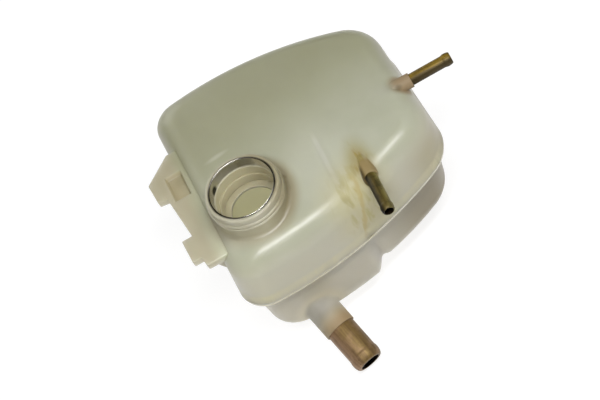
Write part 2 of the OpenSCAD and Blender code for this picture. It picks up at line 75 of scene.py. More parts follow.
def plan_of_tank(count):
    """The seam's outline seen from above: left wall, front bow, right wall and back bow, joined by four
    corner radii, walked anticlockwise and cut into equal steps."""
    left, right = np.array([LEFT, 0.0]), np.array([RIGHT, LEAN_FOOT])
    front, back = np.array([FRONT_BOW_X, FRONT + FRONT_BOW]), np.array([BACK_BOW_X, BACK - BACK_BOW])
    left_angle = LEFT_SPREAD - pi
    corners = [
        (turn_centre(left, left_angle, front, FRONT_BOW, CORNER_FL, 1), CORNER_FL, front, left_angle, None),
        (turn_centre(right, RIGHT_LEAN, front, FRONT_BOW, CORNER_FR, -1), CORNER_FR, front, None,
         RIGHT_LEAN),
        (turn_centre(right, RIGHT_LEAN, back, BACK_BOW, CORNER_BR, 1), CORNER_BR, back, RIGHT_LEAN, None),
        (turn_centre(left, left_angle, back, BACK_BOW, CORNER_BL, -1), CORNER_BL, back, None,
         left_angle + 2 * pi),
    ]
    walk = []
    for centre, r, bow_centre, start, end in corners:
        swing = np.arctan2(*(centre - bow_centre)[::-1])
        a = np.linspace(swing if start is None else start, swing if end is None else end, 240)
        walk.append(centre + r * np.stack([np.cos(a), np.sin(a)], -1))
        if end is None:
            bow_r = FRONT_BOW if bow_centre is front else BACK_BOW
            following = corners[1 if bow_centre is front else 3][0]
            a = np.linspace(swing, np.arctan2(*(following - bow_centre)[::-1]), 600)[1:-1]
            walk.append(bow_centre + bow_r * np.stack([np.cos(a), np.sin(a)], -1))
    walk = np.concatenate(walk + [walk[0][:1]])
    length = np.concatenate([[0], np.cumsum(np.linalg.norm(np.diff(walk, axis=0), axis=1))])
    stops = np.linspace(0, length[-1], count, endpoint=False)
    return np.stack([np.interp(stops, length, walk[:, k]) for k in (0, 1)], -1)


def ease(u):
    """A smooth step from 0 to 1: 3u^2 - 2u^3, held at its ends."""
    u = np.clip(u, 0, 1)
    return u * u * (3 - 2 * u)


def upper_profile(skin):
    """Half section of the lid as rows of (scale of the outline, height, tilt of the surface): a parabolic
    crown, a round shoulder and a drafted wall that flares towards the seam. skin is the depth below the
    outer surface."""
    r = SHOULDER_R - skin
    wall_top = FLARE + WALL_DRAFT
    end_scale = 1 - (wall_top + SHOULDER_R - r * cos(SHOULDER_END)) / MEAN_REACH
    end_z = SHOULDER_Z + r * sin(SHOULDER_END)
    f = np.linspace(0, 1, 40)[1:-1]
    crown = np.stack([end_scale * f, CROWN_Z - skin - (CROWN_Z - skin - end_z) * f * f,
                      (pi / 2 - SHOULDER_END) * f], -1)
    a = SHOULDER_END * np.linspace(1, 0, 28)
    shoulder = np.stack([1 - (wall_top + SHOULDER_R - r * np.cos(a)) / MEAN_REACH,
                         SHOULDER_Z + r * np.sin(a), pi / 2 - a], -1)
    h = (SHOULDER_Z - SEAM_Z) * (1 - np.linspace(0, 1, 26)[1:])
    inset = (FLARE * (1 - (1 - np.minimum(h, FLARE_HEIGHT) / FLARE_HEIGHT) ** 2)
             + WALL_DRAFT * h / (SHOULDER_Z - SEAM_Z) + skin)
    wall = np.stack([1 - inset / MEAN_REACH, SEAM_Z + h, np.full_like(h, pi / 2)], -1)
    return np.concatenate([crown, shoulder, wall])


def crease_at(xy, depth):
    """Depth of the crease between the lobes: a bell across X that fades out towards the back."""
    bell = np.exp(-((xy[..., 0] - CREASE_X) / CREASE_HALF) ** 2)
    return depth * bell * ease((CREASE_END - xy[..., 1]) / CREASE_END)


def lid_rings(plan, profile):
    """One ring of points for each row of the profile: the outline scaled about the middle, sunk along
    its normal by the crease."""
    scale, z, tilt = (column[:, None] for column in profile.T)
    dip = crease_at(MIDDLE + scale[..., None] * (plan - MIDDLE), CREASE_DEPTH)
    xy = MIDDLE + (scale - dip * np.sin(tilt) / MEAN_REACH)[..., None] * (plan - MIDDLE)
    return np.concatenate([xy, (z - dip * np.cos(tilt))[..., None]], -1)


def closed_grid(name, rings, poles=None):
    """A closed mesh from a grid of points in millimetres whose rows are rings. With poles the first and
    last ring close on a point each, otherwise the last ring joins the first."""
    rows, cols = rings.shape[:2]
    verts = rings.reshape(-1, 3)
    i, j = np.meshgrid(np.arange(rows if poles is None else rows - 1), np.arange(cols), indexing="ij")
    here, there = i * cols, (i + 1) % rows * cols
    faces = np.stack([here + j, here + (j + 1) % cols, there + (j + 1) % cols, there + j], -1)
    faces = faces.reshape(-1, 4).tolist()
    if poles is not None:
        around = np.arange(cols)
        first, last = rows * cols, rows * cols + 1
        verts = np.concatenate([verts, np.array(poles, float)])
        faces += np.stack([np.full(cols, first), (around + 1) % cols, around], -1).tolist()
        tail = (rows - 1) * cols
        faces += np.stack([np.full(cols, last), tail + around, tail + (around + 1) % cols], -1).tolist()
    return solid(name, verts, faces)


def solid(name, verts, faces):
    """A new object at the origin from points in millimetres, with its faces turned outwards."""
    mesh = bpy.data.meshes.new(name)
    mesh.from_pydata((np.asarray(verts) * MM).tolist(), [], faces)
    work = bmesh.new()
    work.from_mesh(mesh)
    bmesh.ops.recalc_face_normals(work, faces=work.faces)
    work.to_mesh(mesh)
    work.free()
    piece = bpy.data.objects.new(name, mesh)
    bpy.context.scene.collection.objects.link(piece)
    return piece


def turned(name, profile, place=lambda p: p, count=128):
    """A body turned on a lathe: each point (r, z) of the profile is carried round the axis, and the
    result is put in its place. A profile that starts and ends on the axis closes with a pole at each
    end."""
    profile = np.array(profile, float)
    a = np.arange(count) * 2 * pi / count
    poled = profile[0, 0] == 0 and profile[-1, 0] == 0
    r, z = (profile[1:-1] if poled else profile).T
    rings = np.stack([np.outer(r, np.cos(a)), np.outer(r, np.sin(a)), np.outer(z, np.ones(count))], -1)
    poles = place(np.array([[0, 0, profile[0, 1]], [0, 0, profile[-1, 1]]])) if poled else None
    return closed_grid(name, place(rings), poles)


def arc(centre, r, start, end, steps=6):
    """Points (r, z) on a circle from one angle in degrees to another, for rounded edges of a profile."""
    a = np.radians(np.linspace(start, end, steps))
    return [(centre[0] + r * np.cos(t), centre[1] + r * np.sin(t)) for t in a]


def along(origin, way, up=(0, 0, 1)):
    """A function that lays a body made on +Z along another direction from an origin."""
    way = np.array(way, float) / np.linalg.norm(way)
    side = np.cross(up, way)
    side /= np.linalg.norm(side)
    turn = np.stack([side, np.cross(way, side), way])
    return lambda p: np.array(origin, float) + p @ turn


def weld(body, others, operation):
    """Joins the other solids to the body, or cuts them from it, as one closed mesh, and drops them."""
    for other in others:
        step = body.modifiers.new("weld", "BOOLEAN")
        step.operation = operation
        step.solver = "MANIFOLD"
        step.object = other
    now = body.evaluated_get(bpy.context.evaluated_depsgraph_get())
    mesh = bpy.data.meshes.new_from_object(now)
    mesh.materials.clear()
    mesh.polygons.foreach_set("material_index", [0] * len(mesh.polygons))
    body.modifiers.clear()
    body.data = mesh
    for other in others:
        bpy.data.objects.remove(other)


def smooth(piece, angle):
    """Smooth shading, with edges sharper than the angle in degrees left crisp."""
    piece.data.polygons.foreach_set("use_smooth", [True] * len(piece.data.polygons))
    piece.data.set_sharp_from_angle(angle=radians(angle))


plan = plan_of_tank(OUTLINE_POINTS)
outer, inner = lid_rings(plan, upper_profile(0)), lid_rings(plan, upper_profile(WALL))
upper = closed_grid("upper_shell_moulding", np.concatenate([outer, inner[::-1]]),
                    [[*MIDDLE, CROWN_Z], [*MIDDLE, CROWN_Z - WALL]])

# Neck: a turned body with a rounded rim, a fillet where it grows out of the crown, and a helical thread
NECK_R, NECK_TOP, NECK_FOOT, RIM_ROUND, NECK_FILLET = 25.25, -0.2, -27.5, 1.1, 3.2
THREAD_TURNS, THREAD_PITCH, THREAD_START, THREAD_RISE = 2.0, 3.6, 3.0, 1.1
RING_R, RING_WALL, RING_LEN, FIT = 21.8, 0.7, 9.5, 0.05
NECK_BORE_R, SEAT_R, SEAT_Z, THROAT_R, THROAT_Z = 21.2, 20.2, -17.0, 16.0, -25.0


def crown_height(xy):
    """Height of the lid over a point: its share of the way from the middle to the outline looked up in
    the outer profile."""
    ray = xy - MIDDLE
    rim = plan - MIDDLE
    heading = np.arctan2(rim[:, 1], rim[:, 0])
    order = np.argsort(heading)
    reach = np.interp(np.arctan2(ray[..., 1], ray[..., 0]), heading[order],
                      np.linalg.norm(rim, axis=1)[order], period=2 * pi)
    profile = upper_profile(0)
    return np.interp(np.linalg.norm(ray, axis=-1) / reach, profile[:, 0], profile[:, 1])


def fillet_ring(r, width, foot, toe, steps, sink, root):
    """A ring of fillet round a boss of radius r. At each angle a curve leaves the boss `width` above foot
    and lands `width` further out at toe, by a quadratic blend of its three corner points. It sinks a
    little under the wall at its toe and reaches down to its root inside the wall."""
    count = len(foot)
    a = np.arange(count) * 2 * pi / count
    t = np.linspace(0, 1, steps)[:, None]
    core = np.full((1, count), r - 1.5)
    radius = np.concatenate([core, r + width * t * t + 0 * a, np.full((1, count), r + width), core])
    z = (1 - t) ** 2 * (foot + width) + 2 * t * (1 - t) * foot + t * t * (toe - sink)
    z = np.concatenate([[foot + width], z, [toe - 1.5], [np.minimum(foot, toe) - root]])
    return np.stack([radius * np.cos(a), radius * np.sin(a), z], -1)


def thread(r, turns, pitch, start, height):
    """A helical ridge with a rounded crest. It rises from the neck over an eighth of a turn at each end,
    and its foot is 0.68 of the pitch wide."""
    steps = int(72 * turns)
    half_foot = 0.34 * pitch
    u = np.linspace(0, 1, steps)[:, None]
    a = 2 * pi * turns * u
    across = np.linspace(-1, 1, 9)
    fade = np.minimum(1, np.minimum(u, 1 - u) * turns * 8)
    rise = height * fade * np.cos(across * pi / 2) ** 0.8
    radius = np.concatenate([r - 0.02 + rise, np.full((steps, 2), r - 0.7)], 1)
    z = -start - half_foot - pitch * turns * u + np.concatenate([across, [1, -1]]) * half_foot
    rings = np.stack([radius * np.cos(a), radius * np.sin(a), z], -1)
    return closed_grid("thread", rings, [rings[0].mean(0), rings[-1].mean(0)])


rim_edge = arc((NECK_R - RIM_ROUND, NECK_TOP - RIM_ROUND), RIM_ROUND, 0, 90)
neck = turned("neck", [(0, NECK_FOOT), (NECK_R, NECK_FOOT)] + rim_edge + [(0, NECK_TOP)], count=192)
bearing = np.arange(160) * 2 * pi / 160
bearing = np.stack([np.cos(bearing), np.sin(bearing)], -1)
neck_fillet = closed_grid("neck_fillet", fillet_ring(
    NECK_R, NECK_FILLET, crown_height(NECK_R * bearing), crown_height((NECK_R + NECK_FILLET) * bearing),
    12, 0.06, 1.5))
ridge = thread(NECK_R, THREAD_TURNS, THREAD_PITCH, THREAD_START, THREAD_RISE)

# Collars: short tubes that hold the bleed pipes. Their roots and bores go on into the tank's room.
SIDE_Y, SIDE_Z, SIDE_WALL = 28.5, -26.5, 119.69
FRONT_X, FRONT_Z, FRONT_WALL = 75.5, -25.0, -23.29
BLEED_R, BLEED_ROOT, COLLAR_R, COLLAR_EDGE = 4.0, 12.0, 5.1, 0.5
SIDE_COLLAR, FRONT_COLLAR, ROOT_MORE = 7.5, 1.0, 3.0
SIDE_HOLE_END, FRONT_HOLE_END = 29.4, 21.4
side_way = along((SIDE_WALL - BLEED_ROOT, SIDE_Y, SIDE_Z), (1, 0, 0))
front_way = along((FRONT_X, FRONT_WALL + BLEED_ROOT, FRONT_Z), (0, -1, 0))


def collar(name, length, place):
    """A plain boss with a rounded end, longer at its root than the pipe that it holds."""
    end = BLEED_ROOT + length
    edge = arc((COLLAR_R - COLLAR_EDGE, end - COLLAR_EDGE), COLLAR_EDGE, 0, 90)
    return turned(name, [(0, -ROOT_MORE), (COLLAR_R, -ROOT_MORE), (COLLAR_R, end - 3)] + edge + [(0, end)],
                  place, 72)


def bleed_hole(name, end, place):
    """The straight bore that a bleed pipe fits in, from inside the tank out past the wall."""
    start, r = -ROOT_MORE - 0.1, BLEED_R + FIT
    return turned(name, [(0, start), (r, start), (r, end), (0, end)], place, 72)


collars = [collar("side_collar", SIDE_COLLAR, side_way), collar("front_collar", FRONT_COLLAR, front_way)]

# Flange: a 6 mm ledge with two tabs on the left, a shallow pocket and three gussets under it
FLANGE_Z, FLANGE_THICK, FLANGE_ROUND = -25.5, 6.0, 0.7
POCKET_DEPTH, POCKET_DRAFT = 2.5, 0.4
GUSSET_HALF, GUSSET_ROOT, GUSSET_TIP, GUSSET_DEPTH = 1.5, -34.7, 2.0, 22.0
flange_edge = [(-28.8, 72.5), (-37.2, 72.5), (-56.2, 57.5), (-55.2, 41.5), (-48.7, 40.5), (-44.7, 5.0),
               (-52.2, 5.0), (-51.7, -14.0), (-45.2, -14.0), (-44.2, -21.5), (-28.8, -21.5)]
pocket_edge = [(-43.6, 36.8), (-33.8, 36.8), (-33.8, 54.2), (-43.6, 54.2)]
gussets = [(49.5, 11.5), (2.0, 6.5), (-11.0, 6.5)]  # place along Y and reach beyond the left wall


def plate(name, edge, low, high, lay, spread=0.0):
    """A flat plate between two heights over an outline, laid in place, with its edges rounded a little.
    Its upper outline is larger by the share `spread`, for a pocket with drafted walls."""
    edge = np.array(edge, float)
    n = len(edge)
    upper_edge = edge + spread * (edge - edge.mean(0))
    verts = np.concatenate([np.c_[edge, np.full(n, low)], np.c_[upper_edge, np.full(n, high)]])
    faces = [list(range(n)), list(range(n, 2 * n))]
    faces += [[k, (k + 1) % n, n + (k + 1) % n, n + k] for k in range(n)]
    piece = solid(name, lay(verts), faces)
    bevel = piece.modifiers.new("edges", "BEVEL")
    bevel.width = FLANGE_ROUND * MM
    bevel.segments = 3
    bevel.limit_method = "ANGLE"
    return piece


flange = [plate("ledge", flange_edge, FLANGE_Z - FLANGE_THICK, FLANGE_Z, lambda p: p)]
for at, reach in gussets:
    edge = [(GUSSET_ROOT, 0.5), (LEFT - reach, 0.5), (LEFT - reach, -GUSSET_TIP),
            (GUSSET_ROOT, -GUSSET_DEPTH)]
    flange.append(plate(
        "gusset", edge, -GUSSET_HALF, GUSSET_HALF,
        lambda p, at=at: np.stack([p[:, 0], at + p[:, 2], FLANGE_Z - FLANGE_THICK + p[:, 1]], -1)))
pocket = plate("pocket", pocket_edge, FLANGE_Z - POCKET_DEPTH, FLANGE_Z + 2, lambda p: p, POCKET_DRAFT)

weld(upper, [neck, neck_fillet, ridge, *collars, *flange], "UNION")
RING_SEAT_R, MOUTH_GROOVE = RING_R + RING_WALL, 0.5
bores = [
    turned("mouth", [(0, 2), (RING_SEAT_R + MOUTH_GROOVE, 2), (RING_SEAT_R + MOUTH_GROOVE, NECK_TOP),
                     (RING_SEAT_R + FIT, NECK_TOP - 0.7), (RING_SEAT_R + FIT, -RING_LEN - FIT),
                     (NECK_BORE_R, -RING_LEN - FIT), (NECK_BORE_R, SEAT_Z), (SEAT_R, SEAT_Z - 0.3),
                     (SEAT_R, THROAT_Z), (THROAT_R, THROAT_Z - 0.3), (THROAT_R, NECK_FOOT - 1),
                     (0, NECK_FOOT - 1)], count=192),
    bleed_hole("side_hole", SIDE_HOLE_END, side_way),
    bleed_hole("front_hole", FRONT_HOLE_END, front_way),
]
weld(upper, [*bores, pocket], "DIFFERENCE")
smooth(upper, 32)


def linear(hex_colour):
    """An sRGB hex colour as the linear colour that a shader works in."""
    c = np.array([int(hex_colour[k:k + 2], 16) / 255 for k in (1, 3, 5)])
    return (*np.where(c <= 0.04045, c / 12.92, ((c + 0.055) / 1.055) ** 2.4), 1.0)


def node(tree, kind, links=None, **settings):
    """Adds one node, sets its fields and its sockets by name or number, and links its inputs."""
    new = tree.nodes.new(kind)
    for field, value in settings.items():
        if hasattr(new, field):
            setattr(new, field, value)
        else:
            new.inputs[field.replace("_", " ")].default_value = value
    for socket, source in (links or {}).items():
        tree.links.new(source, new.inputs[socket])
    return new


def ramp(tree, source, low, high):
    """A Map Range node from low..high to 0..1 with a smooth step."""
    new = node(tree, "ShaderNodeMapRange", {"Value": source}, interpolation_type="SMOOTHSTEP")
    new.inputs["From Min"].default_value = low
    new.inputs["From Max"].default_value = high
    return new.outputs["Result"]


def stretched(tree, source, low, high):
    """A Map Range node from 0..1 to low..high."""
    new = node(tree, "ShaderNodeMapRange", {"Value": source})
    new.inputs["To Min"].default_value = low
    new.inputs["To Max"].default_value = high
    return new.outputs["Result"]


def mix(tree, share, first, second):
    """Mixes two colours, each a link or a hex value, by a share."""
    new = node(tree, "ShaderNodeMix", {"Factor": share}, data_type="RGBA")
    for socket, colour in (("A", first), ("B", second)):
        slots = [s for s in new.inputs if s.name == socket and s.type == "RGBA"]
        if isinstance(colour, str):
            slots[0].default_value = linear(colour)
        else:
            tree.links.new(colour, slots[0])
    return [s for s in new.outputs if s.type == "RGBA"][0]


def maths(tree, operation, a, b):
    """A Math node on two values, each a link or a number."""
    new = node(tree, "ShaderNodeMath", operation=operation)
    for k, value in enumerate((a, b)):
        if isinstance(value, (int, float)):
            new.inputs[k].default_value = value
        else:
            tree.links.new(value, new.inputs[k])
    return new.outputs[0]


def times(tree, *factors):
    """The product of several masks and numbers."""
    product = factors[0]
    for factor in factors[1:]:
        product = maths(tree, "MULTIPLY", product, factor)
    return product


def paint(tree, colour, over, *masks):
    """Lays one colour over another where the product of the masks says."""
    return mix(tree, times(tree, *masks), colour, over)


def axes(tree, vector):
    """The X, Y and Z of a vector."""
    return node(tree, "ShaderNodeSeparateXYZ", {"Vector": vector}).outputs


def past(tree, value, low, high):
    """0 where a coordinate is under low millimetres and 1 where it is over high."""
    return ramp(tree, value, low * MM, high * MM)


def short_of(tree, value, low, high):
    """1 where a coordinate is under low millimetres and 0 where it is over high."""
    return maths(tree, "SUBTRACT", 1.0, past(tree, value, low, high))


def between(tree, value, low, high, soft):
    """1 where a coordinate lies between two millimetre values and 0 outside, with soft millimetres of
    transition inside each end."""
    return maths(tree, "SUBTRACT", past(tree, value, low, low + soft), past(tree, value, high - soft, high))


def offset(tree, place, point):
    """The way to a place from a point in millimetres."""
    shift = node(tree, "ShaderNodeVectorMath", {0: place}, operation="SUBTRACT")
    shift.inputs[1].default_value = [c * MM for c in point]
    return shift.outputs[0]


def span(tree, way, stretch):
    """The length of a vector after each of its axes is multiplied."""
    scaled = node(tree, "ShaderNodeVectorMath", {0: way}, operation="MULTIPLY")
    scaled.inputs[1].default_value = stretch
    return node(tree, "ShaderNodeVectorMath", {0: scaled.outputs[0]}, operation="LENGTH").outputs["Value"]


def near(tree, place, point, inner_r, outer_r, stretch=(1, 1, 1)):
    """1 within inner_r millimetres of a point and 0 beyond outer_r, with the distance stretched by axis."""
    return short_of(tree, span(tree, offset(tree, place, point), stretch), inner_r, outer_r)


def axis_distance(tree, place, point, axis):
    """Distance from a line through a point, along the X, Y or Z axis: the length of what is left when
    that coordinate is dropped."""
    return span(tree, offset(tree, place, point), [0 if name == axis else 1 for name in "XYZ"])


def bare_material(name):
    """A material without nodes but one that gives the Object coordinates."""
    material = bpy.data.materials.new(name)
    material.use_nodes = True
    tree = material.node_tree
    tree.nodes.clear()
    return material, tree, node(tree, "ShaderNodeTexCoord").outputs["Object"]


def milky_plastic(name, top, dark, wall, back_shade_and_yellowing):
    """Aged natural polypropylene, moulded with a satin surface: cloudy and translucent, so light soaks
    into it. The top has a green-grey cast with patches of density some 40 mm wide, the walls are warmer and
    the back left is darker and more yellow, as painted shade and yellowing."""
    material, tree, place = bare_material(name)
    x, y, z = axes(tree, place)
    patches = node(tree, "ShaderNodeTexNoise", {"Vector": place}, Scale=24.0, Detail=3.0, Roughness=0.5)
    colour = mix(tree, ramp(tree, patches.outputs["Fac"], 0.32, 0.7), dark, top)
    colour = paint(tree, colour, wall, short_of(tree, z, -48, -18))
    # Painted shade and yellowing towards the back left
    back = past(tree, maths(tree, "SUBTRACT", y, times(tree, x, 0.12)), -20, 80)
    return material, tree, place, paint(tree, colour, back_shade_and_yellowing, back, 0.85)


def finish_plastic(tree, place, colour, backed, dried):
    """The surface of the moulded plastic: soft gloss, light soaking in, and a bump of scuffs about 1 mm
    apart and of the slight waviness, over some 17 mm, that the mould leaves. Where it is backed by metal
    less light passes through it, and where coolant has dried on it the gloss is gone."""
    waves = node(tree, "ShaderNodeTexNoise", {"Vector": place}, Scale=60.0, Detail=1.0)
    scuffs = node(tree, "ShaderNodeTexNoise", {"Vector": place}, Scale=900.0, Detail=4.0, Roughness=0.6)
    height = maths(tree, "ADD", times(tree, waves.outputs["Fac"], 0.5),
                   times(tree, scuffs.outputs["Fac"], 0.06))
    bump = node(tree, "ShaderNodeBump", {"Height": height}, Strength=0.25, Distance=0.0008)
    satin = stretched(tree, scuffs.outputs["Fac"], 0.26, 0.40)
    dull = maths(tree, "ADD", satin, times(tree, dried, 0.34))
    soak = maths(tree, "SUBTRACT", 0.9, times(tree, backed, 0.8))
    shader = node(tree, "ShaderNodeBsdfPrincipled",
                  {"Base Color": colour, "Normal": bump.outputs["Normal"], "Roughness": dull,
                   "Subsurface Weight": soak}, IOR=1.49, Subsurface_Scale=0.02)
    shader.inputs["Subsurface Radius"].default_value = (1.0, 1.0, 0.94)
    node(tree, "ShaderNodeOutputMaterial", {"Surface": shader.outputs[0]})


plastic, tree, place, colour = milky_plastic("aged_milky_polypropylene", "#bbbda7", "#afb199", "#c2bda4",
                                             "#98977a")
x, y, z = axes(tree, place)

# Painted light: a lighter patch beside the crease, a painted highlight along the ridge of the crease and a
# painted glint in a streak behind the neck. The right wall is darker
colour = paint(tree, colour, "#bebfa8", near(tree, place, (50, -5, -17), 8, 42, (1.3, 0.6, 1)), 0.5)
# Painted highlight along the ridge of the crease
colour = paint(tree, colour, "#dcdccb", between(tree, x, 52.5, 57, 1.8), between(tree, y, -60, 26, 12),
               0.35)
colour = paint(tree, colour, "#a39874", past(tree, x, 85, 118), short_of(tree, z, -50, -24), 0.75)
# Painted glint in a streak behind the neck
colour = paint(tree, colour, "#d2d3bf", near(tree, place, (-7.5, 46.4, -19), 1, 9, (0.75, 3.5, 1)), 0.4)

# The neck, the flange and its pocket have yellowed. Painted shade darkens the neck's right side, the steps
# in its bore that face up and the groove round the ring, and painted light brightens the bore
from_neck = axis_distance(tree, place, (0, 0, 0), "Z")
around_neck = short_of(tree, from_neck, 26, 36)
colour = paint(tree, colour, "#a99e84", around_neck, 0.62)
# Painted shade on the neck's right side
colour = paint(tree, colour, "#8f8568", around_neck, past(tree, x, 0, 22), 0.8)
# Painted light inside the neck's bore
in_neck = short_of(tree, from_neck, 21.3, 22.5)
colour = paint(tree, colour, "#c3bb99", in_neck, 0.8)
facing = axes(tree, node(tree, "ShaderNodeTexCoord").outputs["Normal"])
# Painted shade on the steps in the bore that face up
colour = paint(tree, colour, "#9b9272", between(tree, z, -26, -16, 0.3), in_neck,
               ramp(tree, facing["Z"], 0.2, 0.7), 0.7)
# Painted shade in the groove round the ring
colour = paint(tree, colour, "#3a3226", between(tree, from_neck, 22.2, 23.3, 0.3),
               between(tree, z, -1.6, 1, 0.4), 0.85)
colour = paint(tree, colour, "#a39b87", short_of(tree, x, -40, -30), 0.8)
colour = paint(tree, colour, "#8f835f", between(tree, x, -45.5, -32, 2), between(tree, y, 34.5, 56.5, 2),
               between(tree, z, -30, -20, 0.5), 0.6)

# Coolant has crept out round the front pipe, spread as a thin film, run down beside the crease and dried
# along the seam. It lies in streaks 4 mm wide and 14 mm long. The band along the seam is also painted
# light.
veil = near(tree, place, (62, -28, -38), 6, 36, (1, 1, 0.7))
colour = paint(tree, colour, "#b9ae7e", veil, 0.7)
drawn_out = node(tree, "ShaderNodeMapping", {"Vector": place}, Scale=(230, 70, 70))
fine = node(tree, "ShaderNodeTexNoise", {"Vector": drawn_out.outputs[0]}, Scale=1.0, Detail=5.0,
            Distortion=0.4)
crazing = ramp(tree, fine.outputs["Fac"], 0.47, 0.66)
colour = paint(tree, colour, "#a3975a", near(tree, place, (60, -30, -38), 4, 32, (1.4, 1, 0.7)), crazing,
               0.6)
path = maths(tree, "ADD", maths(tree, "SUBTRACT", x, times(tree, z, 0.27)),
             times(tree, fine.outputs["Fac"], 0.011))
colour = paint(tree, colour, "#ad934c", between(tree, path, 73.5, 79.5, 2.6), between(tree, z, -66, -19, 4),
               short_of(tree, y, -12, -4), 0.5)
# A lighter yellow band along the seam: dried coolant, and painted light from below
colour = paint(tree, colour, "#cfc69c", between(tree, z, -68, -57, 4),
               maths(tree, "ADD", times(tree, crazing, 0.25), 0.5), short_of(tree, y, -20, 10))
stain = near(tree, place, (74, -13, -20), 2, 13, (1, 0.5, 1))
colour = paint(tree, colour, "#8f7c34", stain, maths(tree, "ADD", times(tree, crazing, 0.3), 0.65))

# The pipes show through their collars, painted shade and grime lie beside the front collar, and a dark
# spot lies at the side collar's root
from_pipe = axis_distance(tree, place, (FRONT_X, 0, FRONT_Z), "Y")
sleeve = times(tree, between(tree, y, -40, -11, 4), short_of(tree, from_pipe, 5.2, 5.6))
colour = paint(tree, colour, "#857249", sleeve, 0.9)
# Painted shade and grime beside the front collar
colour = paint(tree, colour, "#4a3a10", between(tree, from_pipe, 3.4, 6.2, 0.9),
               between(tree, y, -36, -13, 6), between(tree, x, 67, 73.6, 2.2), 0.95)
through = times(tree, near(tree, place, (124, SIDE_Y, SIDE_Z), 5, 11, (0.45, 1, 1)),
                past(tree, x, 106, 118))
colour = paint(tree, colour, "#846a48", through, 0.85)
# A dark spot at the side collar's root
colour = paint(tree, colour, "#4f4629", near(tree, place, (117.6, 25, -22.8), 0.3, 3.2, (0.8, 1, 1)), 0.6)
metal_inside = maths(tree, "MAXIMUM", sleeve, through)
dried = maths(tree, "MAXIMUM", metal_inside, maths(tree, "MAXIMUM", veil, stain))
finish_plastic(tree, place, colour, metal_inside, dried)
upper.data.materials.append(plastic)
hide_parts("upper_shell")
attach(upper, "root")


# ---------------------------------------------------------------------------
# Lower shell
# The other half, moulded from the same polypropylene: a deep pan in two lobes, set in from the lid's rim
# behind the narrow flange that it is welded by, with the boss that holds the outlet pipe.
# ---------------------------------------------------------------------------
LOWER_DEPTH, LOBE_DROP, LOBE_BLEND, LOBE_SHIFT, LOBE_BULGE, LOBE_TUCK = 53.5, 3.7, 9.0, 5.0, 2.0, 4.0
WELD_STEP, WELD_THICK, WELD_EDGE = 0.4, 2.2, 0.3
LOWER_INSET, LOWER_DRAFT, BOTTOM_R, BOTTOM_END, BELLY, GROOVE = 5.6, 2.6, 19.0, radians(85), 2.5, 2.0
BOTTOM_Z = SEAM_Z - LOWER_DEPTH
LOW_MIDDLE = MIDDLE - [LOBE_SHIFT, 0]


def lower_profile(skin):
    """Half section of the pan: a drafted wall, a round bottom edge and a bellied floor, skin deep."""
    r = BOTTOM_R - skin
    turn = LOWER_INSET + LOWER_DRAFT + BOTTOM_R
    centre_z = BOTTOM_Z + BOTTOM_R
    f = np.linspace(0, 1, 24)[1:]
    top = SEAM_Z - 2 * WELD_THICK
    wall = np.stack([1 - (LOWER_INSET + LOWER_DRAFT * f + skin) / MEAN_REACH, top + (centre_z - top) * f,
                     np.full_like(f, pi / 2)], -1)
    a = BOTTOM_END * np.linspace(0, 1, 30)[1:]
    bend = np.stack([1 - (turn - r * np.cos(a)) / MEAN_REACH, centre_z - r * np.sin(a), pi / 2 + a], -1)
    end_scale, end_z, low_z = bend[-1, 0], bend[-1, 1], BOTTOM_Z - BELLY + skin
    f = np.linspace(1, 0, 40)[1:-1]
    floor = np.stack([end_scale * f, low_z + (end_z - low_z) * f * f, np.full_like(f, pi)], -1)
    return np.concatenate([wall, bend, floor])


def pan_rings(plan, profile):
    """Rings of the pan. From the seam to the floor the left lobe grows deeper and stands forward and the
    right lobe is tucked in, and a groove lies between them."""
    scale, z, tilt = (column[:, None] for column in profile.T)
    low = np.maximum(0, (SEAM_Z - z) / LOWER_DEPTH)
    left = ease((CREASE_X - LOBE_SHIFT - plan[:, 0]) / LOBE_BLEND + 0.5)
    dip = crease_at(LOW_MIDDLE + scale[..., None] * (plan - LOW_MIDDLE), GROOVE * np.minimum(1, low * 1.5))
    s = scale - (LOBE_TUCK * low * (1 - left) + dip * np.sin(tilt)) / MEAN_REACH
    xy = LOW_MIDDLE + s[..., None] * (plan - LOW_MIDDLE)
    ahead = np.clip((LOW_MIDDLE[1] - xy[..., 1]) / (LOW_MIDDLE[1] - FRONT), 0, 1)
    y = xy[..., 1] - LOBE_BULGE * low * left * ahead
    return np.stack([xy[..., 0], y, z - LOBE_DROP * low * left - dip * np.cos(tilt)], -1)


def rim_rows(rows):
    """Profile rows from pairs of inset and height."""
    return np.array([(1 - inset / MEAN_REACH, z, pi / 2) for inset, z in rows])


weld_rows = rim_rows(
    [(WELD_STEP + WELD_EDGE, SEAM_Z), (WELD_STEP, SEAM_Z - WELD_EDGE),
     (WELD_STEP, SEAM_Z - WELD_THICK + WELD_EDGE), (WELD_STEP + WELD_EDGE, SEAM_Z - WELD_THICK)]
    + [(LOWER_INSET - WELD_THICK * (1 - sin(a)), SEAM_Z - WELD_THICK - WELD_THICK * (1 - cos(a)))
       for a in np.linspace(0, pi / 2, 8)])
inside = np.concatenate([rim_rows([(LOWER_INSET + WALL, SEAM_Z)]), lower_profile(WALL)])[::-1]
outside = np.concatenate([weld_rows, lower_profile(0)])
pan = pan_rings(plan, np.concatenate([inside, outside]))
low_pole = BOTTOM_Z - BELLY - LOBE_DROP * (1 + BELLY / LOWER_DEPTH) / 2
lower = closed_grid("lower_shell_moulding", pan, [[*LOW_MIDDLE, low_pole + WALL], [*LOW_MIDDLE, low_pole]])

